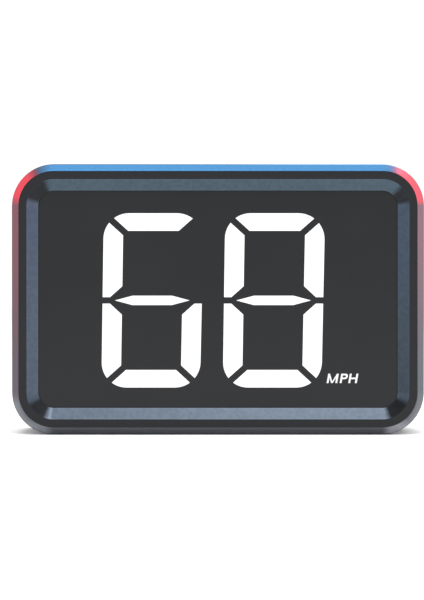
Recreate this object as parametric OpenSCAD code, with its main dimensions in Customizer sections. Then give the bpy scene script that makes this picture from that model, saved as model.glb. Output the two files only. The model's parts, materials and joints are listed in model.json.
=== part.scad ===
// Solar-charged digital speed display on a tilting stand.
// Millimetres. +Z is up, the display faces -Y, and +X is to the right of someone reading it.
// The origin is under the middle of the whole object, on the surface that it stands on.
// Depths are measured back from the front edge of the case, along +Y.

/* [Case] */
// Width of the case
body_w = 90; // [88:1:96]
// Height of the case
body_h = 59; // [58:0.5:62]
// Depth of the case, from its front edge to its back face
body_d = 20; // [20:0.5:22]
// Radius of the case's corners, seen from the front
corner_r = 9.2; // [9:0.1:9.6]

/* [Front] */
// Width of the bevelled metal rim, seen from the front
rim_w = 1.65; // [1.5:0.05:1.7]
// Width of the flat dark band inside the rim
band_w = 1.75; // [1.6:0.05:1.9]
// Width of the slope from the band down to the panel
slope_w = 2.4; // [2.2:0.05:2.6]
// How far the face panel lies behind the front edge
panel_d = 1.6; // [1.6:0.1:1.8]

/* [Digits] */
// Height of a digit
digit_h = 38.05; // [37:0.05:39]
// Width of a digit
digit_w = 21.65; // [21:0.05:22.4]
// How much wider a digit is at its top than at its bottom
digit_flare = 0.25; // [0:0.05:0.4]
// Distance from one digit to the next
digit_pitch = 26.5; // [26:0.1:27]
// Lean of the digits to the right, in degrees
digit_slant = 1; // [0:0.1:3]
// Thickness of the top and bottom segments
bar_t = 3.85; // [3.6:0.05:4.2]
// Thickness of the upright segments
upright_t = 4.25; // [4:0.05:4.6]
// Thickness of the middle segment
middle_t = 2.05; // [1.8:0.05:2.3]
// Gap across each mitre between two segments
mitre_gap = 1.45; // [1.2:0.05:1.6]

/* [Stand] */
// Width of the stand's base
base_w = 48; // [44:1:56]
// Length of the stand's base behind the hinge
base_len = 25.4; // [24:0.2:26]
// Thickness of the stand's base
base_t = 2.6; // [2.4:0.1:3]
// Thickness of the adhesive pad under the base
pad_t = 1; // [0.8:0.1:1]
// Radius of the hinge pin
pin_r = 1.5; // [1.3:0.1:1.6]

/* [Solar panel] */
// Width of the solar panel
solar_w = 64; // [56:1:64]
// Height of the solar panel
solar_h = 34; // [30:1:34]
// Number of cells side by side
cell_count = 8; // [6:1:10]

/* [Hidden] */
$fn = 96;
eps = 0.01;

// Front stack: depths behind the front edge
band_d = 0.12;
tape_t = 0.1;
lip_back_d = panel_d - tape_t;
lip_front_d = lip_back_d - 0.2;
panel_t = 1.4;
panel_back_d = panel_d + panel_t;
film_t = 0.3;
board_d = 9;
board_t = 1;
board_back_d = board_d + board_t;
ring_d = 7;
bezel_wall_d = 8.5;
rear_wall_t = 3;
inner_d = body_d - rear_wall_t;
rim_edge = 0.14;

// Insets from the case's outline
band_in = rim_w + band_w;
window_in = band_in + slope_w;
skirt_in = 4.6;
bezel_wall_in = rim_w + 1.4;
fit_gap = 0.05;
panel_in = skirt_in + fit_gap;
shell_t = rim_w - fit_gap;
tape_margin = 0.1;
board_in = 2.3;
back_edge_r = 2;
back_plate_in = 4;
quarter_steps = 6;

// Digits: measured from the middle of a digit
digits_mid_x = -1.1;
digits_mid_z = body_h / 2 - 0.25;
tens_x = digits_mid_x - digit_pitch / 2;
units_x = digits_mid_x + digit_pitch / 2;
digit_corner_r = 5.5;
digit_top_right_r = 5.8;
mitre_angle = 42;
mitre_overrun = 1.5;
mitre_reach = 9;
waist_gap = 1.4;
waist_flat = 1.6;
waist_rise = 2.4;
middle_tip_x = 8.15;
middle_flat_x = 4.3;
inner_x = digit_w / 2 - upright_t;
inner_y = digit_h / 2 - bar_t;
arc_steps = 12;
block_w = 68;
block_h = digit_h + 4;
block_corner_r = 1.5;
led_size = [2, 1.2, 0.8];
led_spread = 3;

// Unit mark, and where each letter starts in it and how wide it is
mark_h = 2.05;
mark_stroke = 0.42;
mark_slant = 10;
mark_x = 23.72;
mark_z = 11.2;
mark_t = 0.06;
letter_x = [0, 2.84, 4.72];
letter_w = [2.3, 1.55, 1.85];
mark_diagonal = 0.34;
mark_bar_t = 0.36;
mark_bowl_h = 1.2;
mark_crossbar_z = 0.85;

// Case screws
screw_in = 6;
screw_x = body_w / 2 - screw_in;
screw_z = screw_in;
screw_top_z = body_h - screw_in;
boss_r = 2.6;
screw_r = 1;
screw_head_r = 1.9;
screw_head_t = 1.4;
screw_sink = 2.2;
screw_tip_d = 4.6;
screw_tight = 0.02;
screw_free = 0.2;
screw_head_gap = 0.25;
screw_tip_room = 0.6;
cross_len = 1.9;
cross_w = 0.45;
cross_from = 0.5;

// Solar panel, set in a pocket in the back
solar_top_gap = 7;
solar_z = body_h - solar_top_gap - solar_h / 2;
solar_backing_t = 0.7;
solar_cell_t = 0.2;
solar_cover_t = 0.4;
solar_corner_r = 1.4;
pocket_d = 1.4;
pocket_gap = 0.15;
pocket_floor_d = body_d - pocket_d;
cell_gap = 0.8;
cell_edge = 2;
cell_w = (solar_w - 2 * cell_edge - (cell_count - 1) * cell_gap) / cell_count;
cell_h = solar_h - 2 * cell_edge;
busbar_w = 0.5;
busbar_t = 0.05;
solar_lead_x = 27;
solar_lead_z = 23;
solar_lead_gap = 3;
lead_hole_w = 2.4;
lead_r = 0.5;

// Buttons and switches on the back
button_z = 10.5;
mode_x = -31;
set_x = -22;
button_r = 2.5;
button_gap = 0.35;
button_flange_r = 3.3;
button_flange_t = 0.8;
button_proud = 0.7;
button_stem_r = 1.2;
button_edge_r = 0.5;
button_back_gap = 0.1;
tact_w = 6;
tact_h = 3.4;
plunger_r = 1;
plunger_head_r = 1.7;
plunger_head_t = 0.8;
plunger_sink = 1;
plunger_proud = 0.5;
plunger_bore_r = 1.35;
plunger_bore_depth = 1.8;
power_x = 23;
power_travel = 2.4;
power_knob_w = 4.2;
power_knob_h = 3;
power_slot_h = 3.8;
power_slot_room = 0.8;
power_body = [9.6, 4, 3.4];
slider_w = 2;
slider_h = 1.6;
slider_sink = 1.2;
slider_proud = 1.2;
slider_room = 0.6;
knob_lift = 0.4;
knob_flange = [5.2, 5.4, 0.8];
knob_flange_gap = 0.3;
knob_proud = 0.5;
grip_count = 3;
grip_w = 0.5;
grip_depth = 0.35;
power_rest_x = power_x - power_travel / 2; // the knob rests at the left end of its travel

// Parts on the back of the board: middle x and z, then width, height and thickness
microcontroller_at = [-18, 28];
microcontroller_size = [7, 7, 0.9];
led_driver_at = [-4, 40];
led_driver_size = [10.3, 7.5, 2.3];
charge_controller_at = [-24, 42];
charge_controller_size = [5, 4, 1.5];
inductor_at = [-15, 44];
inductor_size = [4, 4, 2];
gps_at = [24, 42];
gps_size = [16, 12.2, 2.2];
antenna_size = [18, 18, 4];
connector_at = [13.5, 27];
connector_size = [4.4, 6, 4.2];
tilt_switch_x = [-4, 2];
tilt_switch_z = 16;
tilt_switch_r = 1.6;
buzzer_at = [34.2, 14.6];
buzzer_r = 4.5;
buzzer_h = 4;
buzzer_hole_r = 0.8;
buzzer_hole_depth = 2;
sound_hole_r = 0.5;
sound_hole_pitch = 2;

// Charging socket, in the left side
usb_z = 30;
usb_w = 8.94;
usb_t = 3.26;
usb_len = 7.3;
usb_shell_t = 0.3;
usb_back_t = 0.8;
usb_corner_r = usb_t / 2 - 0.05;
usb_gap = 0.25;
usb_tongue_size = [0.7, 6.2];
usb_tongue_sink = 0.9;
usb_d = board_back_d + usb_t / 2;
usb_x = -body_w / 2 + 0.4;

// Battery, held off the back by foam
battery_size = [38, 29, 4];
battery_at = [-13, 35.5];
battery_corner_r = 1.5;
battery_foam_t = 0.4;
battery_foam_margin = 3;
battery_back_d = inner_d - battery_foam_t;
battery_lead_d = board_back_d + 3.2;

// Stand and hinge
hinge_z = 5;
hinge_d = body_d + 5.6;
knuckle_r = 3.6;
knuckle_half_w = 6;
washer_t = 0.5;
washer_r = knuckle_r - 0.4;
washer_gap = 0.1;
ear_near_x = knuckle_half_w + washer_gap + washer_t;
ear_t = 3;
ear_far_x = ear_near_x + ear_t;
bracket_t = 1.4;
bracket_w = 31;
bracket_corner_r = 2;
bracket_screw_x = 12.6;
bracket_screw_tip_d = body_d - 5;
bracket_screw_head_t = 1.1;
bracket_boss_r = 2.2;
bracket_boss_near_d = bracket_screw_tip_d - 1.5;
pin_gap = 0.05;
pin_head_r = 2.8;
pin_head_t = 1.5;
nut_r = 3.1;
nut_t = 2.2;
pin_end = 0.4;
base_near_d = hinge_d + 4.6;
base_far_d = base_near_d + base_len;
base_corner_r = 5;
base_edge_r = 1;
base_plate_in = 2;
base_mid_d = (base_near_d + base_far_d) / 2;
pad_margin = 2;
front_y = -base_far_d / 2;

// ---- Shared shapes ----

// Puts shapes drawn in the front view (x right, y up, z towards the reader) in their place
module front_view() {
    translate([0, front_y, 0]) rotate([90, 0, 0]) children();
}

// A front-view outline, as deep as from one depth to another
module slab(near_d, far_d) {
    front_view() translate([0, 0, -far_d]) linear_extrude(height = far_d - near_d) children();
}

module rod_back(r, x, z, near_d, far_d) {
    slab(near_d, far_d) translate([x, z]) circle(r = r);
}

module rod_across(r, near_x, far_x, d, z) {
    translate([near_x, front_y + d, z]) rotate([0, 90, 0]) cylinder(r = r, h = far_x - near_x);
}

module block(x, z, w, h, near_d, far_d) {
    slab(near_d, far_d) translate([x, z]) square([w, h], center = true);
}

module rounded_rect(w, h, r) {
    square([w - 2 * r, h], center = true);
    square([w, h - 2 * r], center = true);
    for (sx = [-1, 1], sy = [-1, 1])
        translate([sx * (w / 2 - r), sy * (h / 2 - r)]) circle(r = r);
}

// The case's outline in the front view, moved inwards
module case_outline(inset) {
    translate([0, body_h / 2]) rounded_rect(body_w - 2 * inset, body_h - 2 * inset, corner_r - inset);
}

// A profile of [inset, height] points, swept around a rounded rectangle
module swept_ring(w, h, r, profile) {
    run = [w - 2 * r, h - 2 * r];
    for (k = [0 : 3]) {
        rotate([0, 0, 90 * k]) translate([0, -(k % 2 == 0 ? h : w) / 2, 0])
            rotate([90, 0, 90]) linear_extrude(height = run[k % 2], center = true) polygon(profile);
        rotate([0, 0, 90 * k])
            translate([run[k % 2] / 2, -run[(k + 1) % 2] / 2, 0])
                rotate([0, 0, -90]) rotate_extrude(angle = 90)
                    polygon([for (p = profile) [r - p[0], p[1]]]);
    }
}

// A ring around the case, from a profile of [inset, depth] points
module case_ring(profile) {
    front_view() translate([0, body_h / 2, 0])
        swept_ring(body_w, body_h, corner_r, [for (p = profile) [p[0], -p[1]]]);
}

module at_case_screws() {
    for (sx = [-1, 1], z = [screw_z, screw_top_z]) translate([sx * screw_x, z]) children();
}

function arc(mid_x, mid_y, r, start, turn = 90, steps = arc_steps) =
    [for (k = [0 : steps])
        [mid_x + r * cos(start + turn * k / steps), mid_y + r * sin(start + turn * k / steps)]];

// Leans points to the right by an angle, and spreads them sideways in proportion to their height
function leaning(points, angle, spread = 0) =
    [for (p = points) [p[0] * (1 + p[1] * spread) + p[1] * tan(angle), p[1]]];

// ---- Digit outlines, drawn around the middle of a digit ----

function digit_corner(sx, sy, r, start) = arc(sx * (digit_w / 2 - r), sy * (digit_h / 2 - r), r, start);

digit_outline = concat(
    digit_corner(1, 1, digit_top_right_r, 0), digit_corner(-1, 1, digit_corner_r, 90),
    digit_corner(-1, -1, digit_corner_r, 180), digit_corner(1, -1, digit_corner_r, 270));

digit_inside = [[-inner_x, -inner_y], [inner_x, -inner_y], [inner_x, inner_y], [-inner_x, inner_y]];

// The cut between a top or bottom segment and the upright beside it
mitre_cut = let (dir = [cos(mitre_angle), sin(mitre_angle)],
                 side = [-dir[1], dir[0]] * mitre_gap / 2,
                 start = [inner_x, inner_y] - mitre_overrun * dir,
                 end = [inner_x, inner_y] + mitre_reach * dir)
    [start + side, start - side, end - side, end + side];

// The cut between an upper and a lower upright, from outside the digit to past its inner edge
waist_cut = let (over = 1, out_x = digit_w / 2, flat_x = out_x - waist_flat, flat_y = waist_gap / 2,
                 slope = waist_rise / (flat_x - inner_x), end_x = inner_x - over,
                 end_y = flat_y + waist_rise + over * slope)
    [[out_x + over, -flat_y], [out_x + over, flat_y], [flat_x, flat_y], [end_x, end_y],
     [end_x, -end_y], [flat_x, -flat_y]];

middle_outline = [[-middle_tip_x, 0], [-middle_flat_x, -middle_t / 2], [middle_flat_x, -middle_t / 2],
                  [middle_tip_x, 0], [middle_flat_x, middle_t / 2], [-middle_flat_x, middle_t / 2]];

// A region around a digit's upper right segment, with its edges inside the cuts on both ends
upper_right = let (margin = 0.2, near_x = inner_x - 0.3, far_x = digit_w / 2 + 1)
    [[near_x, waist_rise - margin], [digit_w / 2 - waist_flat - 2 * margin, margin], [far_x, 0],
     [far_x, inner_y + (far_x - inner_x) * tan(mitre_angle)],
     [near_x, inner_y + (near_x - inner_x) * tan(mitre_angle)]];

function flipped(points, sx, sy) = [for (p = points) [sx * p[0], sy * p[1]]];

module leaning_polygon(points) {
    polygon(leaning(points, digit_slant, digit_flare / digit_w / digit_h));
}

module all_segments() {
    difference() {
        leaning_polygon(digit_outline);
        leaning_polygon(digit_inside);
        for (sx = [-1, 1], sy = [-1, 1]) leaning_polygon(flipped(mitre_cut, sx, sy));
        for (sx = [-1, 1]) leaning_polygon(flipped(waist_cut, sx, 1));
    }
    leaning_polygon(middle_outline);
}

module at_digit(x) {
    translate([x, digits_mid_z]) children();
}

// ---- Front of the case ----

module trim_ring() {
    color([0.55, 0.57, 0.6]) case_ring([
        [0, ring_d], [0, rim_w + rim_edge], [rim_edge, rim_w - rim_edge], [rim_w - 2 * rim_edge, rim_edge],
        [rim_w - rim_edge, 0], [rim_w, 0], [rim_w, ring_d]]);
}

module front_bezel() {
    color([0.05, 0.05, 0.055]) difference() {
        union() {
            case_ring([
                [rim_w, band_d], [band_in, band_d], [window_in, lip_front_d], [window_in, lip_back_d],
                [skirt_in, lip_back_d], [skirt_in, panel_back_d], [bezel_wall_in, panel_back_d],
                [bezel_wall_in, bezel_wall_d], [rim_w, bezel_wall_d]]);
            slab(panel_back_d, board_d) at_case_screws() circle(r = boss_r);
        }
        slab(screw_tip_d - screw_tip_room, board_d + eps) at_case_screws() circle(r = screw_r + screw_tight);
    }
}

module panel_tape() {
    color([0.1, 0.1, 0.1]) case_ring([
        [panel_in + tape_margin, lip_back_d], [window_in - tape_margin, lip_back_d],
        [window_in - tape_margin, panel_d], [panel_in + tape_margin, panel_d]]);
}

module face_panel() {
    color([0.04, 0.04, 0.045]) slab(panel_d, panel_back_d) difference() {
        case_outline(panel_in);
        at_digit(tens_x) all_segments();
        at_digit(units_x) all_segments();
    }
}

// ---- Digits ----

module tens_segments() {
    color("white") slab(panel_d, panel_back_d) at_digit(tens_x) difference() {
        all_segments();
        leaning_polygon(upper_right);
    }
}

module units_segments() {
    color("white") slab(panel_d, panel_back_d) at_digit(units_x) all_segments();
}

module unlit_segment() {
    color([0.06, 0.06, 0.065]) slab(panel_d, panel_back_d) at_digit(tens_x) intersection() {
        all_segments();
        leaning_polygon(upper_right);
    }
}

// One slanted stroke of the unit mark, from the middle of its foot to the middle of its top
module mark_stroke(low, high, width = mark_stroke) {
    half = width / 2;
    polygon(leaning([[low[0] - half, low[1]], [low[0] + half, low[1]],
                     [high[0] + half, high[1]], [high[0] - half, high[1]]], mark_slant));
}

// A D-shaped outline, for the round part of a P
function mark_bowl(left, right, low, high) =
    let (r = (high - low) / 2)
    concat([[left, low]], arc(right - r, (low + high) / 2, r, -90, 180), [[left, high]]);

module letter_m(w) {
    left = mark_stroke / 2;
    right = w - mark_stroke / 2;
    for (x = [left, right]) {
        mark_stroke([x, 0], [x, mark_h]);
        mark_stroke([w / 2, 0], [x, mark_h], mark_diagonal);
    }
}

module letter_p(w) {
    bowl_low = mark_h - mark_bowl_h;
    mark_stroke([mark_stroke / 2, 0], [mark_stroke / 2, mark_h]);
    difference() {
        polygon(leaning(mark_bowl(mark_stroke / 2, w, bowl_low, mark_h), mark_slant));
        polygon(leaning(mark_bowl(mark_stroke, w - mark_stroke, bowl_low + mark_bar_t, mark_h - mark_bar_t),
                        mark_slant));
    }
}

module letter_h(w) {
    left = mark_stroke / 2;
    right = w - mark_stroke / 2;
    bar_top = mark_crossbar_z + mark_bar_t;
    for (x = [left, right]) mark_stroke([x, 0], [x, mark_h]);
    polygon(leaning([[left, mark_crossbar_z], [right, mark_crossbar_z], [right, bar_top], [left, bar_top]],
                    mark_slant));
}

module unit_mark() {
    color("white") slab(panel_d - mark_t, panel_d) translate([mark_x, mark_z]) {
        translate([letter_x[0], 0]) letter_m(letter_w[0]);
        translate([letter_x[1], 0]) letter_p(letter_w[1]);
        translate([letter_x[2], 0]) letter_h(letter_w[2]);
    }
}

// ---- Light box and board ----

module block_outline() {
    translate([digits_mid_x, digits_mid_z]) rounded_rect(block_w, block_h, block_corner_r);
}

module diffuser_film() {
    color([0.9, 0.9, 0.92]) slab(panel_back_d, panel_back_d + film_t) block_outline();
}

module reflector_block() {
    color([0.92, 0.92, 0.9]) slab(panel_back_d + film_t, board_d) difference() {
        block_outline();
        at_digit(tens_x) all_segments();
        at_digit(units_x) all_segments();
    }
}

// Two lamps for each segment: its middle, and 1 where it stands upright
segment_middles = let (side = digit_w / 2 - upright_t / 2, up = digit_h / 4, top = digit_h / 2 - bar_t / 2)
    [[0, top, 0], [0, 0, 0], [0, -top, 0], [-side, up, 1], [side, up, 1], [-side, -up, 1], [side, -up, 1]];

module segment_leds() {
    color([1, 0.95, 0.7]) slab(board_d - led_size[2], board_d)
        for (digit_x = [tens_x, units_x], m = segment_middles, s = [-1, 1])
            translate([digit_x + m[0] + m[1] * tan(digit_slant), digits_mid_z + m[1]])
                rotate(90 * m[2]) translate([s * led_spread, 0])
                    square([led_size[0], led_size[1]], center = true);
}

module main_board() {
    color([0.05, 0.3, 0.15]) slab(board_d, board_back_d) difference() {
        case_outline(board_in);
        at_case_screws() circle(r = screw_r + screw_free);
    }
}

// ---- Parts on the back of the board ----

// A box standing on the back of the board, or off it on another part
module on_board(at, size, above = 0) {
    near_d = board_back_d + above;
    block(at[0], at[1], size[0], size[1], near_d, near_d + size[2]);
}

module microcontroller() {
    color([0.12, 0.12, 0.13]) on_board(microcontroller_at, microcontroller_size);
}

module led_driver() {
    color([0.12, 0.12, 0.13]) on_board(led_driver_at, led_driver_size);
}

module charge_controller() {
    color([0.12, 0.12, 0.13]) on_board(charge_controller_at, charge_controller_size);
}

module power_inductor() {
    color([0.2, 0.2, 0.2]) on_board(inductor_at, inductor_size);
}

module gps_module() {
    color([0.75, 0.76, 0.78]) on_board(gps_at, gps_size);
}

module gps_antenna() {
    color([0.85, 0.8, 0.7]) on_board(gps_at, antenna_size, gps_size[2]);
}

module buzzer() {
    top_d = board_back_d + buzzer_h;
    color([0.1, 0.1, 0.1]) difference() {
        rod_back(buzzer_r, buzzer_at[0], buzzer_at[1], board_back_d, top_d);
        rod_back(buzzer_hole_r, buzzer_at[0], buzzer_at[1], top_d - buzzer_hole_depth, top_d + eps);
    }
}

module vibration_switch() {
    switch_d = board_back_d + tilt_switch_r;
    color([0.7, 0.7, 0.72])
        rod_across(tilt_switch_r, tilt_switch_x[0], tilt_switch_x[1], switch_d, tilt_switch_z);
}

module usb_outline(inset) {
    rounded_rect(usb_t - 2 * inset, usb_w - 2 * inset, usb_corner_r - inset);
}

// Stands a side-view outline (x back, y up) at the socket, running inwards from the socket's mouth
module at_usb(near, far) {
    translate([usb_x + near, front_y + usb_d, usb_z]) rotate([90, 0, 90])
        linear_extrude(height = far - near) children();
}

module usb_port() {
    color([0.75, 0.76, 0.78]) difference() {
        at_usb(0, usb_len) usb_outline(0);
        at_usb(-eps, usb_len - usb_back_t) usb_outline(usb_shell_t);
    }
}

module usb_tongue() {
    color([0.1, 0.1, 0.1]) at_usb(usb_tongue_sink, usb_len - usb_back_t)
        square(usb_tongue_size, center = true);
}

module battery() {
    color([0.75, 0.76, 0.78]) slab(battery_back_d - battery_size[2], battery_back_d)
        translate(battery_at) rounded_rect(battery_size[0], battery_size[1], battery_corner_r);
}

module battery_foam() {
    color([0.2, 0.2, 0.2]) block(battery_at[0], battery_at[1], battery_size[0] - 2 * battery_foam_margin,
                                 battery_size[1] - 2 * battery_foam_margin, battery_back_d, inner_d);
}

module battery_leads() {
    color([0.75, 0.1, 0.1]) for (s = [-1, 1])
        rod_across(lead_r, battery_at[0] + battery_size[0] / 2, connector_at[0] - connector_size[0] / 2,
                   battery_lead_d, connector_at[1] + s);
}

module battery_connector() {
    color([0.9, 0.88, 0.8]) on_board(connector_at, connector_size);
}

// ---- Back of the case ----

module solar_pocket() {
    slab(pocket_floor_d, body_d + eps) translate([0, solar_z])
        rounded_rect(solar_w + 2 * pocket_gap, solar_h + 2 * pocket_gap, solar_corner_r + pocket_gap);
    slab(inner_d - eps, body_d) translate([solar_lead_x, solar_lead_z + solar_lead_gap / 2])
        rounded_rect(lead_hole_w, solar_lead_gap + lead_hole_w, lead_hole_w / 2 - fit_gap);
}

module screw_openings() {
    slab(board_back_d - eps, body_d + eps) at_case_screws() circle(r = screw_r + screw_free);
    slab(body_d - screw_sink, body_d + eps) at_case_screws() circle(r = screw_head_r + screw_head_gap);
    for (s = [-1, 1])
        rod_back(screw_r + screw_tight, s * bracket_screw_x, hinge_z, bracket_screw_tip_d - screw_tip_room,
                 body_d + eps);
}

module control_openings() {
    for (x = [mode_x, set_x]) rod_back(button_r + button_gap, x, button_z, inner_d - eps, body_d + eps);
    block(power_x, button_z, power_knob_w + power_travel + power_slot_room, power_slot_h,
          inner_d - eps, body_d + eps);
}

module sound_holes() {
    for (i = [-1, 0, 1], j = [-1, 0, 1])
        rod_back(sound_hole_r, buzzer_at[0] + i * sound_hole_pitch, buzzer_at[1] + j * sound_hole_pitch,
                 inner_d - eps, body_d + eps);
}

module socket_opening() {
    translate([-body_w / 2 - eps, front_y + usb_d, usb_z]) rotate([90, 0, 90])
        linear_extrude(height = shell_t + 2 * eps)
            rounded_rect(usb_t + 2 * usb_gap, usb_w + 2 * usb_gap, usb_corner_r);
}

module rear_shell() {
    back_edge = arc(back_edge_r, body_d - back_edge_r, back_edge_r, 180, -90, quarter_steps);
    color([0.06, 0.06, 0.065]) difference() {
        union() {
            case_ring(concat([[0, ring_d]], back_edge,
                             [[back_plate_in, body_d], [back_plate_in, inner_d], [shell_t, inner_d],
                              [shell_t, ring_d]]));
            slab(inner_d, body_d) case_outline(back_plate_in - screw_free);
            slab(board_back_d, inner_d + eps) at_case_screws() circle(r = boss_r);
            for (s = [-1, 1])
                rod_back(bracket_boss_r, s * bracket_screw_x, hinge_z, bracket_boss_near_d, inner_d + eps);
        }
        solar_pocket();
        screw_openings();
        control_openings();
        sound_holes();
        socket_opening();
    }
}

module case_screws() {
    head_near_d = body_d - screw_sink;
    color([0.3, 0.3, 0.32]) difference() {
        union() {
            slab(screw_tip_d, head_near_d) at_case_screws() circle(r = screw_r);
            slab(head_near_d, head_near_d + screw_head_t) at_case_screws() circle(r = screw_head_r);
        }
        slab(head_near_d + cross_from, body_d) at_case_screws() cross_slot();
    }
}

module cross_slot() {
    square([cross_len, cross_w], center = true);
    square([cross_w, cross_len], center = true);
}

// ---- Solar panel ----

module solar_backing() {
    color([0.95, 0.95, 0.95]) slab(pocket_floor_d, pocket_floor_d + solar_backing_t)
        translate([0, solar_z]) rounded_rect(solar_w, solar_h, solar_corner_r);
}

module at_cells() {
    for (k = [0 : cell_count - 1])
        translate([-solar_w / 2 + cell_edge + cell_w / 2 + k * (cell_w + cell_gap), solar_z]) children();
}

module solar_cells() {
    near_d = pocket_floor_d + solar_backing_t;
    color([0.05, 0.08, 0.2]) slab(near_d, near_d + solar_cell_t) at_cells()
        square([cell_w, cell_h], center = true);
}

module solar_busbars() {
    near_d = pocket_floor_d + solar_backing_t + solar_cell_t;
    color([0.85, 0.85, 0.85]) slab(near_d, near_d + busbar_t) at_cells()
        square([busbar_w, cell_h], center = true);
}

module solar_cover() {
    near_d = pocket_floor_d + solar_backing_t + solar_cell_t + busbar_t;
    color([0.6, 0.7, 0.8, 0.4]) slab(near_d, near_d + solar_cover_t) translate([0, solar_z])
        rounded_rect(solar_w, solar_h, solar_corner_r);
}

module solar_leads() {
    color([0.1, 0.1, 0.1]) for (z = [solar_lead_z, solar_lead_z + solar_lead_gap])
        rod_back(lead_r, solar_lead_x, z, board_back_d, pocket_floor_d);
}

// ---- Buttons and switches ----

module tact_switch(x) {
    color([0.15, 0.15, 0.16]) difference() {
        block(x, button_z, tact_w, tact_w, board_back_d, board_back_d + tact_h);
        rod_back(plunger_bore_r, x, button_z, board_back_d + tact_h - plunger_bore_depth,
                 board_back_d + tact_h + eps);
    }
}

module tact_plunger(x) {
    head_d = board_back_d + tact_h + plunger_proud;
    color([0.8, 0.75, 0.6]) union() {
        rod_back(plunger_r, x, button_z, board_back_d + tact_h - plunger_sink, head_d);
        rod_back(plunger_head_r, x, button_z, head_d, head_d + plunger_head_t);
    }
}

module button_cap(x) {
    stem_d = board_back_d + tact_h + plunger_proud + plunger_head_t;
    flange_far_d = inner_d - button_back_gap;
    flange_near_d = flange_far_d - button_flange_t;
    edge_d = body_d + button_proud - button_edge_r;
    color([0.2, 0.2, 0.21]) union() {
        rod_back(button_stem_r, x, button_z, stem_d, flange_near_d);
        rod_back(button_flange_r, x, button_z, flange_near_d, flange_far_d);
        rod_back(button_r, x, button_z, flange_far_d, edge_d);
        front_view() translate([x, button_z, -edge_d]) rotate([180, 0, 0]) rotate_extrude()
            polygon(concat([[0, 0]], arc(button_r - button_edge_r, 0, button_edge_r, 0, 90, quarter_steps),
                           [[0, button_edge_r]]));
    }
}

module mode_switch() { tact_switch(mode_x); }
module mode_plunger() { tact_plunger(mode_x); }
module mode_button() { button_cap(mode_x); }
module set_switch() { tact_switch(set_x); }
module set_plunger() { tact_plunger(set_x); }
module set_button() { button_cap(set_x); }

module power_switch() {
    far_d = board_back_d + power_body[2];
    color([0.15, 0.15, 0.16]) difference() {
        block(power_x, button_z, power_body[0], power_body[1], board_back_d, far_d);
        block(power_x, button_z, slider_w + power_travel + slider_room, slider_h + slider_room,
              far_d - slider_sink - slider_room, far_d + eps);
    }
}

module power_slider() {
    face_d = board_back_d + power_body[2];
    color([0.8, 0.75, 0.6]) block(power_rest_x, button_z, slider_w, slider_h,
                                  face_d - slider_sink, face_d + slider_proud);
}

module power_knob() {
    slider_face_d = board_back_d + power_body[2];
    flange_far_d = inner_d - knob_flange_gap;
    top_d = body_d + knob_proud;
    color([0.2, 0.2, 0.21]) difference() {
        union() {
            block(power_rest_x, button_z, power_knob_w, power_knob_h, slider_face_d + knob_lift, top_d);
            block(power_rest_x, button_z, knob_flange[0], knob_flange[1], flange_far_d - knob_flange[2],
                  flange_far_d);
        }
        block(power_rest_x, button_z, slider_w, slider_h, slider_face_d, slider_face_d + slider_proud);
        for (k = [0 : grip_count - 1])
            block(power_rest_x + (2 * k - grip_count + 1) * grip_w, button_z, grip_w, power_knob_h + 2 * eps,
                  top_d - grip_depth, top_d + eps);
    }
}

// ---- Hinge and stand ----

module hinge_bracket() {
    plate_far_d = body_d + bracket_t;
    color([0.15, 0.15, 0.16]) difference() {
        union() {
            slab(body_d, plate_far_d) translate([0, hinge_z])
                rounded_rect(bracket_w, 2 * knuckle_r, bracket_corner_r);
            for (s = [-1, 1]) {
                ear_mid_x = s * (ear_near_x + ear_t / 2);
                block(ear_mid_x, hinge_z, ear_t, 2 * knuckle_r, plate_far_d - eps, hinge_d);
                rod_across(knuckle_r, ear_mid_x - ear_t / 2, ear_mid_x + ear_t / 2, hinge_d, hinge_z);
            }
        }
        rod_across(pin_r + pin_gap, -ear_far_x - 1, ear_far_x + 1, hinge_d, hinge_z);
        for (s = [-1, 1])
            rod_back(screw_r + screw_free, s * bracket_screw_x, hinge_z, body_d - eps, plate_far_d + eps);
    }
}

module bracket_screws() {
    head_near_d = body_d + bracket_t;
    head_far_d = head_near_d + bracket_screw_head_t;
    color([0.3, 0.3, 0.32]) for (s = [-1, 1]) difference() {
        union() {
            rod_back(screw_r, s * bracket_screw_x, hinge_z, bracket_screw_tip_d, head_near_d);
            rod_back(screw_head_r, s * bracket_screw_x, hinge_z, head_near_d, head_far_d);
        }
        slab(head_near_d + cross_from, head_far_d + eps) translate([s * bracket_screw_x, hinge_z])
            cross_slot();
    }
}

module hinge_pin() {
    color([0.7, 0.7, 0.72]) union() {
        rod_across(pin_r, -ear_far_x, ear_far_x + nut_t + pin_end, hinge_d, hinge_z);
        rod_across(pin_head_r, -ear_far_x - pin_head_t, -ear_far_x, hinge_d, hinge_z);
    }
}

module hinge_nut() {
    color([0.7, 0.7, 0.72]) difference() {
        translate([ear_far_x, front_y + hinge_d, hinge_z]) rotate([0, 90, 0])
            cylinder(r = nut_r, h = nut_t, $fn = 6);
        rod_across(pin_r + screw_tight, ear_far_x - 1, ear_far_x + nut_t + 1, hinge_d, hinge_z);
    }
}

module friction_washers() {
    color([0.8, 0.8, 0.75]) difference() {
        for (near_x = [-ear_near_x, ear_near_x - washer_t])
            rod_across(washer_r, near_x, near_x + washer_t, hinge_d, hinge_z);
        rod_across(pin_r + pin_gap, -ear_far_x, ear_far_x, hinge_d, hinge_z);
    }
}

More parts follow.
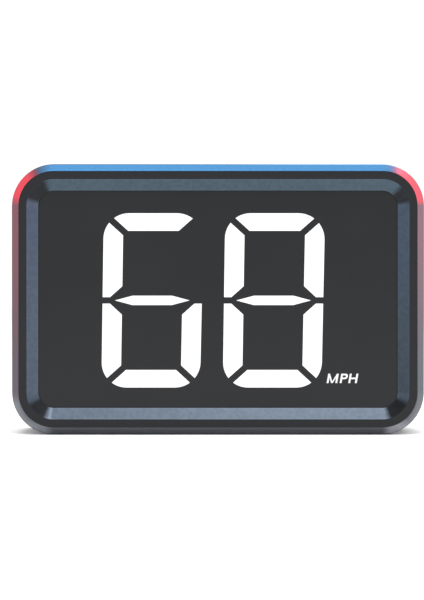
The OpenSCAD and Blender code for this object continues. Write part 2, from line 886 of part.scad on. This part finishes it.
module stand_base() {
    top_edge = arc(base_edge_r, base_t - base_edge_r, base_edge_r, 180, -90, quarter_steps);
    plate_in = base_plate_in - fit_gap;
    color([0.1, 0.1, 0.105]) difference() {
        union() {
            translate([0, front_y + base_mid_d, pad_t]) {
                swept_ring(base_w, base_len, base_corner_r,
                           concat([[base_plate_in, 0], [0, 0]], top_edge, [[base_plate_in, base_t]]));
                linear_extrude(height = base_t)
                    rounded_rect(base_w - 2 * plate_in, base_len - 2 * plate_in, base_corner_r - plate_in);
            }
            translate([-knuckle_half_w, front_y + hinge_d, pad_t])
                cube([2 * knuckle_half_w, base_near_d - hinge_d + base_plate_in, base_t]);
            rod_across(knuckle_r, -knuckle_half_w, knuckle_half_w, hinge_d, hinge_z);
        }
        rod_across(pin_r + pin_gap, -knuckle_half_w - 1, knuckle_half_w + 1, hinge_d, hinge_z);
    }
}

module base_pad() {
    color([0.3, 0.3, 0.32]) translate([0, front_y + base_mid_d, 0]) linear_extrude(height = pad_t)
        rounded_rect(base_w - 2 * pad_margin, base_len - 2 * pad_margin, base_corner_r - pad_margin);
}

trim_ring();
front_bezel();
panel_tape();
face_panel();
tens_segments();
units_segments();
unlit_segment();
unit_mark();
diffuser_film();
reflector_block();
segment_leds();
main_board();
microcontroller();
led_driver();
charge_controller();
power_inductor();
gps_module();
gps_antenna();
buzzer();
vibration_switch();
usb_port();
usb_tongue();
battery();
battery_foam();
battery_leads();
battery_connector();
rear_shell();
solar_backing();
solar_cells();
solar_busbars();
solar_cover();
solar_leads();
case_screws();
mode_switch();
mode_plunger();
mode_button();
set_switch();
set_plunger();
set_button();
power_switch();
power_slider();
power_knob();
hinge_bracket();
bracket_screws();
hinge_pin();
hinge_nut();
friction_washers();
stand_base();
base_pad();
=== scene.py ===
"""Looks for a solar-charged digital speed display on a tilting stand.

Everything is in metres, in the CAD's own frame: +Z is up, the display faces -Y, and +X is to the right of
someone reading it.
"""

import json
import math

import bpy
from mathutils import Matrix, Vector


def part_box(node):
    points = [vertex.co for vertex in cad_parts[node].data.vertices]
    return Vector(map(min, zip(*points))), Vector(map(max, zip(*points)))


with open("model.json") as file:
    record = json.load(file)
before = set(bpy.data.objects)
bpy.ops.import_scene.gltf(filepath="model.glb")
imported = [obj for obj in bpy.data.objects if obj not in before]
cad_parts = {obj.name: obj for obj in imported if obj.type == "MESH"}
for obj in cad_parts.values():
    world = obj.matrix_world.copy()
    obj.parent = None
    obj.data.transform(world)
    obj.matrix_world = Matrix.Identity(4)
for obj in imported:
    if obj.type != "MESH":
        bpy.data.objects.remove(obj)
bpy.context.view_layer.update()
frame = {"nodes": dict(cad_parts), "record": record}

MM = 0.001

# The case's outline in the front view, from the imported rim, and the insets of its front from that outline
CASE_LOW, CASE_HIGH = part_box("trim_ring")
CASE_W = CASE_HIGH.x - CASE_LOW.x
CASE_H = CASE_HIGH.z - CASE_LOW.z
CASE_MID_Z = (CASE_HIGH.z + CASE_LOW.z) / 2
FRONT_Y = CASE_LOW.y
CORNER_R = 9.2 * MM
RIM_W = CASE_HIGH.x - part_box("front_bezel")[1].x
BAND_W = 1.75 * MM  # the bezel's flat band, inside the rim
SLOPE_W = 2.4 * MM  # the slope from the band down to the panel's window
BAND_IN = RIM_W + BAND_W
WINDOW_IN = BAND_IN + SLOPE_W

# ---------------------------------------------------------------- camera, light and floor

SURROUND = 1.1  # strength of the even white light all round
LIGHT_DISTANCE = 0.95
CAMERA_DISTANCE = 0.32
CAMERA_HEIGHT = 0.0305
VIEW_WIDTH = CASE_W * 1.0232  # how much of the world the picture's width shows, at the object's front
VIEW_ASPECT = 600 / 424  # the picture's height over its width
VIEW_SHIFT = Vector((-1.30, 0, -0.16)) * MM  # from the case's middle to the picture's middle
CLIP_NEAR, CLIP_FAR = 0.01, 20

FLOOR_SIZE = 6.0
FLOOR_DROP = 0.02 * MM  # below the object's lowest faces, so that no two faces share a plane
FLOOR_WHITE = (0.93, 0.93, 0.93)


def make_camera():
    """A camera in front of the object and nearly level with its middle, framed as the picture is."""
    data = bpy.data.cameras.new("camera")
    camera = bpy.data.objects.new("camera", data)
    bpy.context.scene.collection.objects.link(camera)
    target = Vector((0, FRONT_Y, CASE_MID_Z)) + VIEW_SHIFT
    camera.location = Vector((target.x, FRONT_Y - CAMERA_DISTANCE, CAMERA_HEIGHT))
    camera.rotation_mode = "QUATERNION"
    camera.rotation_quaternion = (target - camera.location).to_track_quat("-Z", "Y")
    half_height = VIEW_WIDTH * VIEW_ASPECT / 2
    data.lens = data.sensor_width / 2 / (half_height / CAMERA_DISTANCE)
    data.clip_start, data.clip_end = CLIP_NEAR, CLIP_FAR
    bpy.context.scene.camera = camera


def softbox(name, azimuth, elevation, size, power):
    """A lamp LIGHT_DISTANCE away. Azimuth 0 is in front of the object, 90 is on its right."""
    turn, rise = math.radians(azimuth), math.radians(elevation)
    way = Vector((math.sin(turn) * math.cos(rise), -math.cos(turn) * math.cos(rise), math.sin(rise)))
    data = bpy.data.lights.new(name, "AREA")
    data.shape = "RECTANGLE"
    data.size, data.size_y = size
    data.energy = power
    light = bpy.data.objects.new(name, data)
    light.location = way * LIGHT_DISTANCE
    light.rotation_mode = "QUATERNION"
    light.rotation_quaternion = (Vector((0, 0, CASE_MID_Z)) - light.location).to_track_quat("-Z", "Y")
    bpy.context.scene.collection.objects.link(light)


def make_light():
    """Even white light all round, with two softboxes above."""
    world = bpy.data.worlds.new("studio")
    world.use_nodes = True
    background = world.node_tree.nodes["Background"]
    background.inputs["Color"].default_value = (1, 1, 1, 1)
    background.inputs["Strength"].default_value = SURROUND
    bpy.context.scene.world = world
    softbox("front_key", azimuth=-12, elevation=70, size=(0.5, 0.35), power=5.5)
    softbox("back_fill", azimuth=150, elevation=50, size=(0.6, 0.4), power=3)


def make_floor():
    """A wide white floor under the object."""
    half = FLOOR_SIZE / 2
    mesh = bpy.data.meshes.new("floor")
    corners = [(-half, -half, 0), (half, -half, 0), (half, half, 0), (-half, half, 0)]
    mesh.from_pydata(corners, [], [(0, 1, 2, 3)])
    floor = bpy.data.objects.new("floor", mesh)
    floor.location.z = -FLOOR_DROP
    bpy.context.scene.collection.objects.link(floor)
    sheet = Shader("floor_white")
    sheet.set(base=FLOOR_WHITE, roughness=0.9)
    mesh.materials.append(sheet.material)


def set_look():
    """Shows colours as they are, with no film curve."""
    view = bpy.context.scene.view_settings
    view.view_transform = "Standard"
    view.look = "None"


# ---------------------------------------------------------------- shader building


def linear(*rgb):
    """A colour as read from a screen, 0 to 255, as the shader's linear value."""
    shares = [c / 255 for c in rgb]
    return tuple(s / 12.92 if s <= 0.04045 else ((s + 0.055) / 1.055) ** 2.4 for s in shares)


def seen(*rgb):
    """The colour that a metal needs, to look like this under the studio's even light."""
    return tuple(c / SURROUND for c in linear(*rgb))


class Shader:
    """A Principled material, with short calls for the nodes that feed it."""

    def __init__(self, name):
        self.material = bpy.data.materials.new(name)
        self.material.use_nodes = True
        self.tree = self.material.node_tree
        self.principled = self.tree.nodes["Principled BSDF"]

    def put(self, socket, value):
        if isinstance(value, bpy.types.NodeSocket):
            self.tree.links.new(value, socket)
        elif socket.type == "RGBA":
            socket.default_value = (*value, 1)
        else:
            socket.default_value = value

    def set(self, base=None, roughness=None, metallic=None, bump=None, **others):
        """Sets or links sockets. others are the sockets' own names in small letters, with _ for a space."""
        named = {"Base Color": base, "Roughness": roughness, "Metallic": metallic, "Normal": bump}
        for key, value in others.items():
            named[key.replace("_", " ").title().replace("Ior", "IOR")] = value
        for key, value in named.items():
            if value is not None:
                self.put(self.principled.inputs[key], value)

    def node(self, kind, **inputs):
        made = self.tree.nodes.new(kind)
        for key, value in inputs.items():
            self.put(made.inputs[key.replace("_", " ")], value)
        return made

    def place(self):
        """Where a point is in the object's own frame, in metres."""
        return self.node("ShaderNodeTexCoord").outputs["Object"]

    def split(self, vector):
        return self.node("ShaderNodeSeparateXYZ", Vector=vector).outputs

    def join(self, x, y, z):
        return self.node("ShaderNodeCombineXYZ", X=x, Y=y, Z=z).outputs[0]

    def math(self, operation, a, b=None, c=None):
        made = self.tree.nodes.new("ShaderNodeMath")
        made.operation = operation
        for socket, value in zip(made.inputs, (a, b, c)):
            if value is not None:
                self.put(socket, value)
        return made.outputs[0]

    def fade(self, value, start, end, low=0.0, high=1.0):
        """low up to start, high from end on, and a smooth step between them."""
        made = self.node("ShaderNodeMapRange", Value=value, From_Min=start, From_Max=end, To_Min=low,
                         To_Max=high)
        made.interpolation_type = "SMOOTHSTEP"
        return made.outputs["Result"]

    def mix(self, share, a, b):
        made = self.tree.nodes.new("ShaderNodeMix")
        made.data_type = "RGBA"
        self.put(made.inputs["Factor"], share)
        self.put(made.inputs[6], a)
        self.put(made.inputs[7], b)
        return made.outputs[2]

    def varied(self, noise, low, high, reach=0.3):
        """low where the noise is under 0.5 - reach, high where it is over 0.5 + reach, smooth between."""
        return self.fade(noise, 0.5 - reach, 0.5 + reach, low, high)

    def scaled(self, colour, factor):
        made = self.tree.nodes.new("ShaderNodeVectorMath")
        made.operation = "SCALE"
        self.put(made.inputs["Vector"], colour)
        self.put(made.inputs["Scale"], factor)
        return made.outputs["Vector"]

    def ramp(self, value, stops):
        made = self.node("ShaderNodeValToRGB", Fac=value)
        elements = made.color_ramp.elements
        elements.remove(elements[1])
        for index, (position, colour) in enumerate(stops):
            element = elements[0] if index == 0 else elements.new(position)
            element.position = position
            element.color = (*colour, 1)
        return made.outputs["Color"]

    def noise(self, size, detail=2.0, stretch=(1, 1, 1)):
        """Noise whose features are about size metres wide, wider where stretch is under 1."""
        spread = self.tree.nodes.new("ShaderNodeVectorMath")
        spread.operation = "MULTIPLY"
        self.put(spread.inputs[0], self.place())
        spread.inputs[1].default_value = [s / size for s in stretch]
        made = self.node("ShaderNodeTexNoise", Vector=spread.outputs[0], Scale=1.0, Detail=detail)
        return made.outputs["Fac"]

    def streaks(self, value, size):
        """Noise that changes only with a value, in streaks about size metres wide."""
        along = self.join(self.math("DIVIDE", value, size), 0.0, 0.0)
        return self.node("ShaderNodeTexNoise", Vector=along, Scale=1.0, Detail=2.0).outputs["Fac"]

    def bumped(self, height, depth):
        """A bump that stands depth metres high where its height is 1."""
        return self.node("ShaderNodeBump", Height=height, Distance=depth, Strength=1.0).outputs["Normal"]


def place_on_case(shader):
    """A point's place in the front view of the case.

    inset is how far it is inside the outline, in metres. turn runs from 0 on the sides, round the corners,
    to 1 on the top and bottom. across runs from 0 on the left to 1 on the right, and up from 0 below to 1
    above.
    """
    x, _, z = shader.split(shader.place())[:3]
    side = shader.math("SUBTRACT", shader.math("ABSOLUTE", x), CASE_W / 2 - CORNER_R)
    height = shader.math("SUBTRACT", z, CASE_MID_Z)
    end = shader.math("SUBTRACT", shader.math("ABSOLUTE", height), CASE_H / 2 - CORNER_R)
    out_x = shader.math("MAXIMUM", side, 0.0)
    out_z = shader.math("MAXIMUM", end, 0.0)
    reach = shader.math("SQRT", shader.math("ADD", shader.math("MULTIPLY", out_x, out_x),
                                            shader.math("MULTIPLY", out_z, out_z)))
    within = shader.math("MINIMUM", shader.math("MAXIMUM", side, end), 0.0)
    inset = shader.math("SUBTRACT", CORNER_R, shader.math("ADD", reach, within))
    turn = shader.math("DIVIDE", shader.math("ARCTAN2", out_z, out_x), math.pi / 2)
    across = shader.fade(x, CORNER_R - CASE_W / 2, CASE_W / 2 - CORNER_R)
    up = shader.fade(height, CORNER_R - CASE_H / 2, CASE_H / 2 - CORNER_R)
    return inset, turn, across, up


def round_the_case(shader, turn, across, up, corners):
    """A colour that changes round the case. Each corner's stops run from its side to its top or bottom."""
    ramps = {name: shader.ramp(turn, stops) for name, stops in corners.items()}
    low = shader.mix(across, ramps["low_left"], ramps["low_right"])
    high = shader.mix(across, ramps["high_left"], ramps["high_right"])
    return shader.mix(up, low, high)


# ---------------------------------------------------------------- materials

METAL_GRAIN = 0.1 * MM
METAL_GRAIN_DEPTH = 0.004 * MM
METAL_DARK = 0.88  # the grain's dark parts, as a share of the metal's colour
METAL_SMOOTH, METAL_ROUGH = 0.8, 1.25  # the least and most roughness, as shares of the metal's own

# The rim's colours are painted reflections of coloured lights and of the studio: blue from above along the
# top, red round the upper corners, greys lower down, with a painted highlight on the turn into the bottom.
RIM_BLUE = seen(73, 134, 186)
RIM_SLATE_LEFT = seen(80, 100, 126)
RIM_SLATE_RIGHT = seen(92, 122, 164)
RIM_WINE_LEFT = seen(144, 76, 90)
RIM_WINE_RIGHT = seen(165, 102, 132)
RIM_RED_LEFT = seen(240, 80, 94)
RIM_RED_RIGHT = seen(247, 107, 123)
RIM_MAUVE_LEFT = seen(137, 91, 100)
RIM_MAUVE_RIGHT = seen(150, 117, 128)
RIM_SIDE_LOW_LEFT = seen(95, 87, 96)
RIM_SIDE_LOW_RIGHT = seen(101, 105, 113)
RIM_CORNER_LOW_LEFT = seen(107, 110, 115)
RIM_CORNER_LOW_RIGHT = seen(101, 103, 108)
RIM_TURN_LEFT = seen(131, 134, 141)
RIM_TURN_RIGHT = seen(153, 155, 161)
RIM_BOTTOM = seen(94, 97, 103)
RIM_LIP_W = 0.19 * MM  # the rim's narrow inner edge, inside its bevel
LIP_BLUR = 0.03 * MM
LIP_PAINTED_HIGHLIGHT, LIP_PAINTED_SHADE = 1.1, 0.66  # the lip's brightness against the bevel's, along the sides and top, and below: a painted highlight above, painted shade below
UNDERSIDE_PAINTED_LIGHT = 1.85  # painted light: how much brighter the bevel is at its outer edge along the bottom, where it reflects the shaded floor
UNDERSIDE_FROM, UNDERSIDE_TO = 0.3 * MM, 1.35 * MM  # the insets between which that painted light dies out
OUTLINE_PAINTED_SHADE = 0.62  # the brightness of the rim's outer edge, a line of painted shade
OUTLINE_FROM, OUTLINE_TO = 0.05 * MM, 0.32 * MM
BRUSH_W = 0.22 * MM
BRUSH_DARK, BRUSH_LIGHT = 0.9, 1.08
RIM_GRAIN = 0.12 * MM
WINE_FROM = -0.16  # where red starts to turn to wine, in turns from where it is wine
SLATE_AT = 0.06  # where wine has turned to slate, in turns from the same place


def upper_rim(mauve, red, wine, slate, red_at, wine_at):
    """An upper corner of the rim's painted reflections: mauve up its side, then red, wine, slate, and blue
    along the top.
    """
    return [(0.0, mauve), (red_at, red), (wine_at + WINE_FROM, red), (wine_at, wine),
            (wine_at + SLATE_AT, slate), (0.96, RIM_BLUE)]


def lower_rim(side, corner, turn_below):
    """A lower corner of the rim's painted reflections: its side's grey, the corner's, a painted highlight on
    the turn below, and the bottom's.
    """
    return [(0.05, side), (0.2, corner), (0.52, corner), (0.71, turn_below), (0.86, turn_below),
            (1.0, RIM_BOTTOM)]


def anodised_rim():
    """Brushed metal whose colour changes round the case, painted reflections of coloured lights: blue along
    the top, red, wine and slate round the upper corners, mauve and greys down the sides, greys below.
    """
    shader = Shader("anodised_rim")
    inset, turn, across, up = place_on_case(shader)
    colour = round_the_case(shader, turn, across, up, {
        "high_left": upper_rim(RIM_MAUVE_LEFT, RIM_RED_LEFT, RIM_WINE_LEFT, RIM_SLATE_LEFT, red_at=0.17,
                               wine_at=0.68),
        "high_right": upper_rim(RIM_MAUVE_RIGHT, RIM_RED_RIGHT, RIM_WINE_RIGHT, RIM_SLATE_RIGHT, red_at=0.09,
                                wine_at=0.78),
        "low_left": lower_rim(RIM_SIDE_LOW_LEFT, RIM_CORNER_LOW_LEFT, RIM_TURN_LEFT),
        "low_right": lower_rim(RIM_SIDE_LOW_RIGHT, RIM_CORNER_LOW_RIGHT, RIM_TURN_RIGHT)})
    # Along the bottom, painted light lifts the bevel toward its outer edge, where it reflects the shaded
    # floor.
    below = shader.math("MULTIPLY", turn, shader.math("SUBTRACT", 1.0, up))
    lift = shader.fade(inset, UNDERSIDE_FROM, UNDERSIDE_TO, UNDERSIDE_PAINTED_LIGHT - 1, 0.0)
    colour = shader.scaled(colour, shader.math("MULTIPLY_ADD", below, lift, 1.0))
    # The lip gets a painted highlight along the sides and top and painted shade along the bottom.
    lip_in = RIM_W - RIM_LIP_W
    lip = shader.fade(inset, lip_in - LIP_BLUR, lip_in + LIP_BLUR)
    lip_change = shader.fade(below, 0.0, 1.0, LIP_PAINTED_HIGHLIGHT - 1, LIP_PAINTED_SHADE - 1)
    colour = shader.scaled(colour, shader.math("MULTIPLY_ADD", lip, lip_change, 1.0))
    # Painted shade along the rim's outer edge.
    colour = shader.scaled(colour, shader.fade(inset, OUTLINE_FROM, OUTLINE_TO, OUTLINE_PAINTED_SHADE, 1.0))
    brushing = shader.streaks(inset, BRUSH_W)
    colour = shader.scaled(colour, shader.varied(brushing, BRUSH_DARK, BRUSH_LIGHT, reach=0.2))
    grain = shader.noise(RIM_GRAIN, detail=3, stretch=(1, 0.05, 1))
    shader.set(base=colour, metallic=1.0, roughness=shader.varied(grain, 0.24, 0.4),
               bump=shader.bumped(grain, METAL_GRAIN_DEPTH))
    return shader.material


BEZEL_BLACK = linear(24, 25, 29)
# The slope's tones are painted reflections: each side lighter or darker by how it faces the studio's light,
# with wedges of painted shade in the corners and painted glints beside them.
SLOPE_LEFT_HIGH = seen(85, 94, 111)
SLOPE_LEFT_LOW = seen(82, 92, 106)
SLOPE_RIGHT_HIGH = seen(72, 84, 99)
SLOPE_RIGHT_LOW = seen(63, 72, 81)
SLOPE_TOP = seen(71, 85, 95)
SLOPE_BOTTOM_LEFT = seen(93, 104, 117)
SLOPE_BOTTOM_RIGHT = seen(109, 121, 134)
SLOPE_BOTTOM_GLINT = seen(123, 136, 152)
SLOPE_RIGHT_GLINT = seen(72, 81, 94)
SLOPE_PAINTED_SHADE = seen(43, 45, 48)
SLOPE_PAINTED_SHADE_LOW_LEFT = seen(47, 49, 53)
SLOPE_PAINTED_SHADE_LOW_RIGHT = seen(37, 39, 42)
BAND_BLUR, WINDOW_BLUR = 0.04 * MM, 0.02 * MM  # half the width of the slope's soft outer and inner ends
SLOPE_EDGE_HIGHLIGHT = 0.1  # how much paler the slope is along its edges, a painted highlight
SLOPE_EDGE_FROM, SLOPE_EDGE_TO = 0.1 * MM, 0.3 * MM  # from an edge to where that fades out
SPECKLE_SIZE = 0.8 * MM
SPECKLE = 0.07  # up or down, as a share of the slope's tone
SATIN_GRAIN = 0.25 * MM
SATIN_GRAIN_DEPTH = 0.0015 * MM
SIDE_FADE = (-0.07, 0.08)  # where a corner's side tone fades into its wedge of painted shade, in turns from side_end
END_FADE = (-0.1, 0.06)  # where the wedge fades into the top's or bottom's tone, in turns from end_start
GLINT_END = 0.14  # where the end's own tone is reached, in turns from end_start


def slope_corner(side, end, side_end, end_start, dark=SLOPE_PAINTED_SHADE, side_glint=None, end_glint=None):
    """A corner of the slope's painted reflections: its side's tone, a dark wedge of painted shade, and its
    top's or bottom's tone.

    A glint is a painted highlight next to the wedge, where it isn't the same as the side's or the end's own.
    """
    return [(0.0, side), (side_end / 5, side_glint or side), (side_end + SIDE_FADE[0], side_glint or side),
            (side_end + SIDE_FADE[1], dark), (end_start + END_FADE[0], dark),
            (end_start + END_FADE[1], end_glint or end), (end_start + GLINT_END, end)]


def satin_bezel_painted_slope():
    """Black satin, with the slope down to the panel painted in pale metallic reflections, dark corner wedges
    of painted shade and painted highlights along its edges.
    """
    shader = Shader("satin_bezel_painted_slope")
    inset, turn, across, up = place_on_case(shader)
    colour = round_the_case(shader, turn, across, up, {
        "high_left": slope_corner(SLOPE_LEFT_HIGH, SLOPE_TOP, side_end=0.14, end_start=0.83),
        "high_right": slope_corner(SLOPE_RIGHT_HIGH, SLOPE_TOP, side_end=0.07, end_start=0.55),
        "low_left": slope_corner(SLOPE_LEFT_LOW, SLOPE_BOTTOM_LEFT, side_end=0.26, end_start=0.84,
                                 dark=SLOPE_PAINTED_SHADE_LOW_LEFT, end_glint=SLOPE_BOTTOM_GLINT),
        "low_right": slope_corner(SLOPE_RIGHT_LOW, SLOPE_BOTTOM_RIGHT, side_end=0.24, end_start=0.88,
                                  dark=SLOPE_PAINTED_SHADE_LOW_RIGHT, side_glint=SLOPE_RIGHT_GLINT)})
    on_slope = shader.math("MULTIPLY", shader.fade(inset, BAND_IN - BAND_BLUR, BAND_IN + BAND_BLUR),
                           shader.fade(inset, WINDOW_IN - WINDOW_BLUR, WINDOW_IN + WINDOW_BLUR, 1.0, 0.0))
    # Painted highlights along the slope's outer and inner edges.
    outer_edge = shader.fade(inset, BAND_IN + SLOPE_EDGE_FROM, BAND_IN + SLOPE_EDGE_TO, SLOPE_EDGE_HIGHLIGHT, 0.0)
    inner_edge = shader.fade(inset, WINDOW_IN - SLOPE_EDGE_TO, WINDOW_IN - SLOPE_EDGE_FROM, 1.0,
                             1 + SLOPE_EDGE_HIGHLIGHT)
    colour = shader.scaled(colour, shader.math("ADD", outer_edge, inner_edge))
    speckle = shader.noise(SPECKLE_SIZE, detail=3)
    colour = shader.scaled(colour, shader.varied(speckle, 1 - SPECKLE, 1 + SPECKLE, reach=0.15))
    grain = shader.noise(SATIN_GRAIN, detail=3)
    shader.set(base=shader.mix(on_slope, BEZEL_BLACK, colour), metallic=on_slope, specular_ior_level=0.25,
               roughness=shader.varied(grain, 0.28, 0.36), bump=shader.bumped(grain, SATIN_GRAIN_DEPTH))
    return shader.material


PATCH_SIZE = 4 * MM  # of the soft changes of tone in plastic
PATCH_ROUGHNESS = 0.08  # how much those patches' roughness goes up or down, as a share


def plastic(name, colour, roughness, grain_size, grain_depth, spread=0.08, gloss=0.5):
    """Moulded plastic: fine grain in its bump, and soft changes of tone. Sizes in millimetres."""
    shader = Shader(name)
    grain = shader.noise(grain_size * MM, detail=3)
    patches = shader.noise(PATCH_SIZE)
    dark = tuple(c * (1 - spread) for c in colour)
    light = tuple(c * (1 + spread) for c in colour)
    smooth, rough = roughness * (1 - PATCH_ROUGHNESS), roughness * (1 + PATCH_ROUGHNESS)
    shader.set(base=shader.mix(patches, dark, light), specular_ior_level=gloss,
               roughness=shader.varied(patches, smooth, rough, reach=0.25),
               bump=shader.bumped(grain, grain_depth * MM))
    return shader.material


def metal(name, colour, roughness, brush=(1, 0.08, 1)):
    """Metal with a brushed grain, finest across the brushing."""
    shader = Shader(name)
    grain = shader.noise(METAL_GRAIN, detail=3, stretch=brush)
    shader.set(base=shader.mix(grain, tuple(c * METAL_DARK for c in colour), colour), metallic=1.0,
               roughness=shader.varied(grain, roughness * METAL_SMOOTH, roughness * METAL_ROUGH),
               bump=shader.bumped(grain, METAL_GRAIN_DEPTH))
    return shader.material


FILM_PATCH = 14 * MM
FILM_WAVE = 2 * MM
FILM_WAVE_DEPTH = 0.001 * MM


def tinted_film(name):
    """The dark film that hides unlit segments, with a low gloss."""
    shader = Shader(name)
    film = shader.noise(FILM_PATCH)
    waves = shader.noise(FILM_WAVE, detail=1)
    shader.set(base=shader.mix(film, linear(24, 25, 27), linear(27, 28, 30)), specular_ior_level=0.25,
               roughness=shader.varied(film, 0.2, 0.26, reach=0.25),
               bump=shader.bumped(waves, FILM_WAVE_DEPTH))
    return shader.material


RESIN_CLOUD = 3 * MM


def lit_resin():
    """The glowing resin of a lit segment."""
    shader = Shader("lit_resin")
    cloud = shader.noise(RESIN_CLOUD)
    shader.set(base=shader.mix(cloud, (0.2, 0.2, 0.2), (0.26, 0.26, 0.26)), roughness=0.35,
               emission_color=(1.0, 1.0, 1.0), emission_strength=0.85)
    return shader.material


INK_GRAIN = 0.15 * MM


def white_print():
    """The ink of the unit mark."""
    shader = Shader("white_print")
    ink = shader.noise(INK_GRAIN)
    shader.set(base=shader.mix(ink, (0.7, 0.7, 0.71), (0.76, 0.76, 0.76)), roughness=0.5)
    return shader.material


FINGER_PITCH = 1.5 * MM
FINGER_SHARE = 0.12  # of the pitch
CRYSTAL_SIZE = 3.5 * MM
COVER_TINT = 6 * MM  # the size of the patches in the clear cover's tint


def solar_silicon():
    """Blue-black cells with fine printed fingers across them and faint crystal patches."""
    shader = Shader("solar_silicon")
    z = shader.split(shader.place())["Z"]
    along = shader.math("FRACT", shader.math("DIVIDE", z, FINGER_PITCH))
    finger = shader.math("COMPARE", along, 0.5, FINGER_SHARE / 2)
    patches = shader.node("ShaderNodeTexVoronoi", Vector=shader.place(), Scale=1 / CRYSTAL_SIZE)
    tone = shader.split(patches.outputs["Color"])["X"]
    crystal = shader.mix(tone, (0.005, 0.012, 0.045), (0.01, 0.024, 0.085))
    shader.set(base=shader.mix(finger, crystal, (0.035, 0.05, 0.1)), specular_ior_level=0.4,
               roughness=shader.fade(finger, 0.0, 1.0, 0.15, 0.3))
    return shader.material


def solar_resin():
    """A clear cover: the panel shows through it, and it adds a faint gloss of its own."""
    shader = Shader("solar_resin")
    tint = shader.noise(COVER_TINT, detail=1)
    shader.set(base=shader.mix(tint, (0.012, 0.018, 0.03), (0.018, 0.025, 0.04)), roughness=0.12,
               alpha=0.06)
    return shader.material


TRACK_SIZE = 6 * MM
TRACK_DEPTH = 0.02 * MM
TRACK_HALF_W = 0.06  # as a share of TRACK_SIZE


def circuit_board():
    """Green solder mask over a pattern of tracks."""
    shader = Shader("circuit_board")
    x, y, z = shader.split(shader.place())[:3]
    front = shader.join(x, z, y)
    bricks = shader.node("ShaderNodeTexBrick", Vector=front, Scale=1 / TRACK_SIZE, Mortar_Size=TRACK_HALF_W)
    tracks = bricks.outputs["Fac"]
    shader.set(base=shader.mix(tracks, (0.008, 0.07, 0.03), (0.015, 0.13, 0.055)), roughness=0.3,
               bump=shader.bumped(tracks, TRACK_DEPTH))
    return shader.material


CELL_DEPTH = 0.08 * MM
CELL_DARK = 0.6  # the cells' middles, as a share of the foam's colour: painted shade in their hollows


def foam(name, colour, cell_size):
    """Closed-cell foam, with painted shade in the hollows of its cells. The cells' size is in millimetres.
    """
    shader = Shader(name)
    cells = shader.node("ShaderNodeTexVoronoi", Vector=shader.place(), Scale=1 / (cell_size * MM))
    from_middle = cells.outputs["Distance"]
    shader.set(base=shader.mix(from_middle, tuple(c * CELL_DARK for c in colour), colour), roughness=0.95,
               bump=shader.bumped(from_middle, CELL_DEPTH))
    return shader.material


CREASE_SIZE = 3 * MM
CREASE_DEPTH = 0.06 * MM


def foil():
    """The creased foil of a pouch cell."""
    shader = Shader("battery_foil")
    creases = shader.noise(CREASE_SIZE, detail=4)
    shader.set(base=shader.mix(creases, (0.5, 0.51, 0.53), (0.68, 0.69, 0.7)), metallic=1.0,
               roughness=shader.varied(creases, 0.25, 0.4, reach=0.2),
               bump=shader.bumped(creases, CREASE_DEPTH))
    return shader.material


def slot_materials():
    """One material for each slot of the record."""
    return {
        # the rim: brushed metal painted with reflections of coloured lights
        "anodised_rim": anodised_rim(),
        "black_satin": satin_bezel_painted_slope(),
        "black_panel": tinted_film("face_panel_black"),
        "tinted_resin": tinted_film("tinted_resin"),
        "lit_resin": lit_resin(),
        "white_print": white_print(),
        "black_shell": plastic("black_shell", linear(30, 31, 33), roughness=0.5, grain_size=0.28,
                               grain_depth=0.02, gloss=0.3),
        "stand_plastic": plastic("stand_plastic", linear(34, 35, 37), roughness=0.48, grain_size=0.25,
                                 grain_depth=0.018, gloss=0.3),
        "button_plastic": plastic("button_plastic", linear(72, 74, 78), roughness=0.42, grain_size=0.2,
                                  grain_depth=0.006, gloss=0.4),
        "white_plastic": plastic("white_plastic", (0.82, 0.82, 0.8), roughness=0.4, grain_size=0.3,
                                 grain_depth=0.004, spread=0.03),
        "circuit_board": circuit_board(),
        "chip_black": plastic("chip_black", linear(30, 30, 32), roughness=0.6, grain_size=0.12,
                              grain_depth=0.01),
        "lamp_resin": plastic("lamp_resin", (0.85, 0.72, 0.28), roughness=0.25, grain_size=0.4,
                              grain_depth=0.004, spread=0.05),
        "washer_polymer": plastic("washer_polymer", (0.62, 0.61, 0.56), roughness=0.45, grain_size=0.2,
                                  grain_depth=0.004, spread=0.04),
        "antenna_ceramic": plastic("antenna_ceramic", (0.55, 0.46, 0.33), roughness=0.7, grain_size=0.15,
                                   grain_depth=0.01, spread=0.06),
        "wire_red": plastic("wire_red", (0.42, 0.015, 0.015), roughness=0.4, grain_size=0.4,
                            grain_depth=0.004, spread=0.06),
        "wire_black": plastic("wire_black", (0.015, 0.015, 0.015), roughness=0.4, grain_size=0.4,
                              grain_depth=0.004, spread=0.06),
        "solar_board": plastic("solar_board", (0.01, 0.011, 0.013), roughness=0.5, grain_size=0.3,
                               grain_depth=0.006, spread=0.05, gloss=0.3),
        "tape": plastic("tape", (0.02, 0.02, 0.02), roughness=0.8, grain_size=0.3, grain_depth=0.01,
                        spread=0.1),
        "tin_plate": metal("tin_plate", (0.62, 0.62, 0.64), roughness=0.35),
        "plated_steel": metal("plated_steel", (0.56, 0.56, 0.58), roughness=0.28),
        "screw_steel": metal("screw_steel", (0.12, 0.12, 0.13), roughness=0.35),
        "solar_silver": metal("solar_silver", (0.72, 0.72, 0.74), roughness=0.35, brush=(1, 1, 0.1)),
        "solar_silicon": solar_silicon(),
        "solar_resin": solar_resin(),
        "battery_foil": foil(),
        "foam": foam("foam", (0.07, 0.07, 0.07), cell_size=0.4),
        "pad_foam": foam("pad_foam", (0.06, 0.06, 0.065), cell_size=0.3),
    }


def dress_nodes():
    """Gives every CAD node the material of its slot."""
    materials = slot_materials()
    for subpart in frame["record"]["subparts"]:
        node = frame["nodes"][subpart["node"]]
        for index in range(len(node.data.materials)):
            node.data.materials[index] = materials[subpart["material_slot"]]


# ---------------------------------------------------------------- the scene

set_look()
make_camera()
make_light()
make_floor()
dress_nodes()
